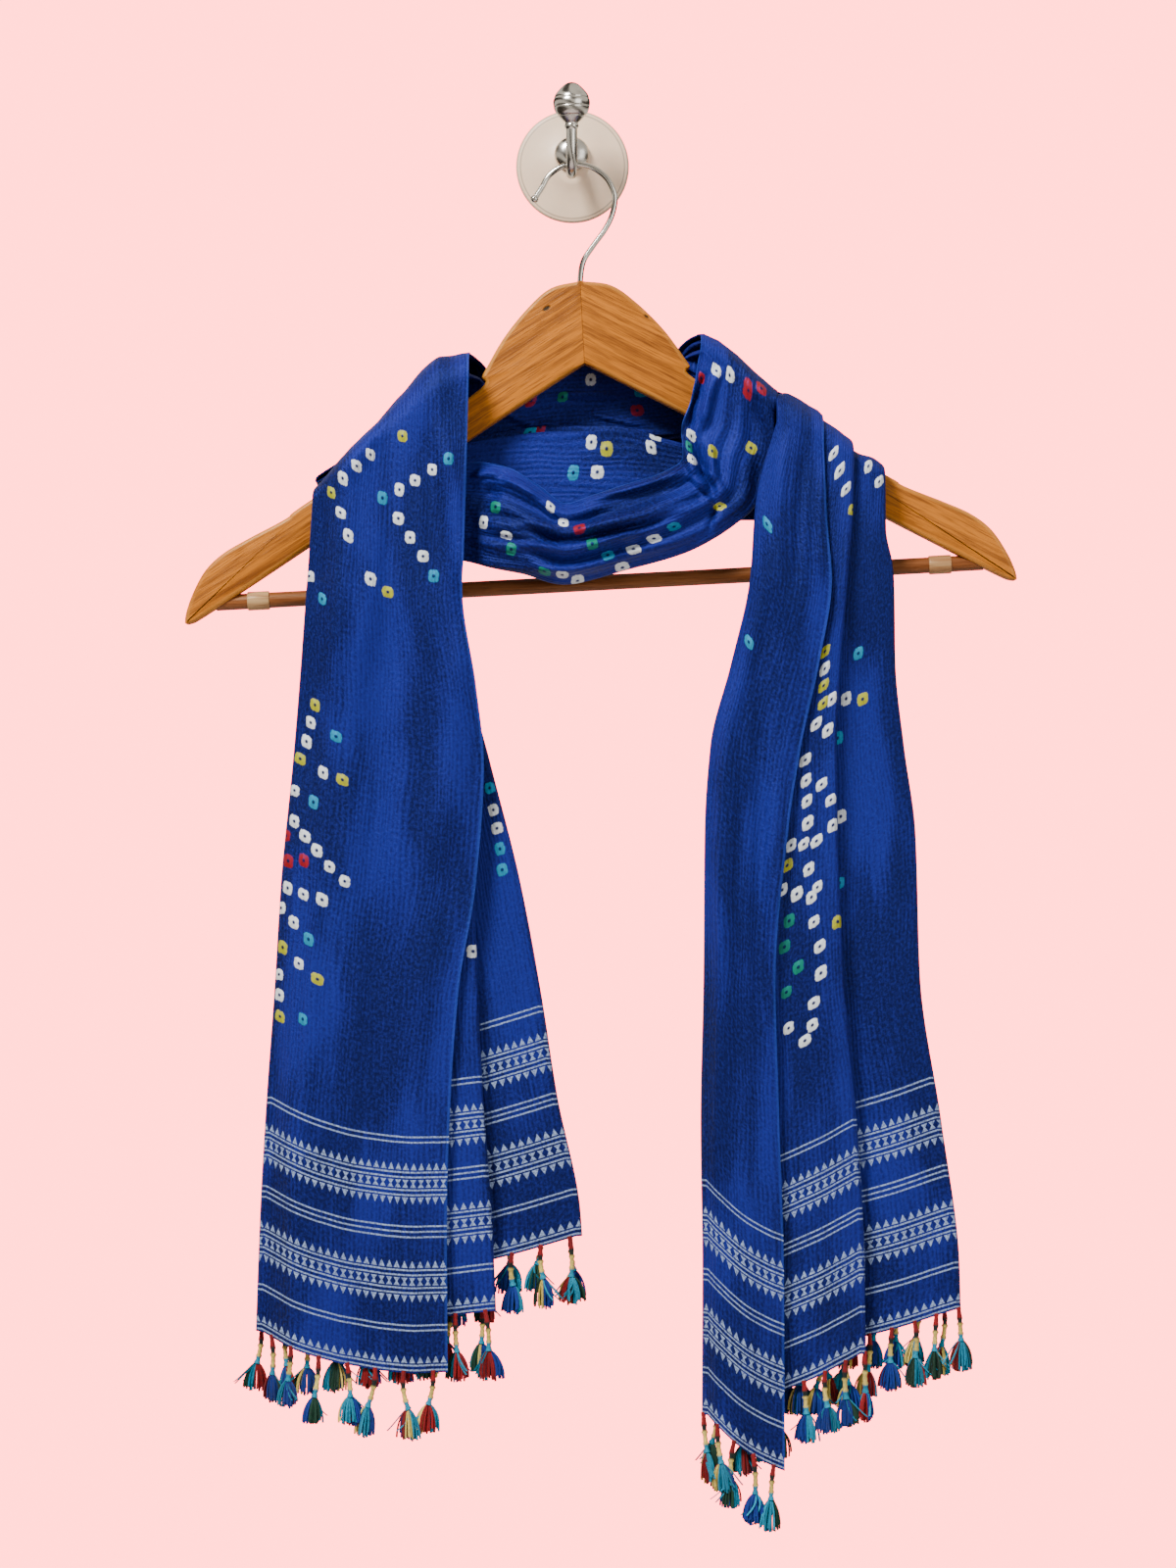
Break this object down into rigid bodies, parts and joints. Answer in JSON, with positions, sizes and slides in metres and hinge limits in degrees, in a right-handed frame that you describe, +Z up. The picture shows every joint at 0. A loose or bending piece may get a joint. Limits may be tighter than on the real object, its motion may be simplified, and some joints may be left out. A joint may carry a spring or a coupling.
{
  "type": "shawl on a hanger with a wall hook",
  "caption": "Long pleated shawl with tasselled ends, wound once round a curved wooden clothes hanger that hangs on a suction cup wall hook.",
  "frame": {"origin": "centre of the suction cup's back face, where it is stuck to the wall", "axes": "+X to the right seen from the front, +Y into the wall, +Z up; the whole object is on the -Y side of the wall"},
  "size_m": [0.4435, 0.067, 0.7739],
  "materials": {
    "silk": "satin",
    "fringe": "matte",
    "wood": "varnished",
    "bar": "satin",
    "sleeve": "satin",
    "chrome": "polished",
    "cup": "frosted"
  },
  "bodies": {
    "root": {"wall_cup": "cup", "wall_hook": "chrome", "hanger_wire": "chrome", "hanger_left": "wood", "hanger_right": "wood", "hanger_bar": "bar", "bar_sleeve_left": "sleeve", "bar_sleeve_right": "sleeve", "left_tail": "silk", "back_wrap_1": "silk", "front_wrap": "silk", "back_wrap_2": "silk", "right_tail": "silk", "left_fringe": "fringe", "right_fringe": "fringe"}
  },
  "joints": []
}
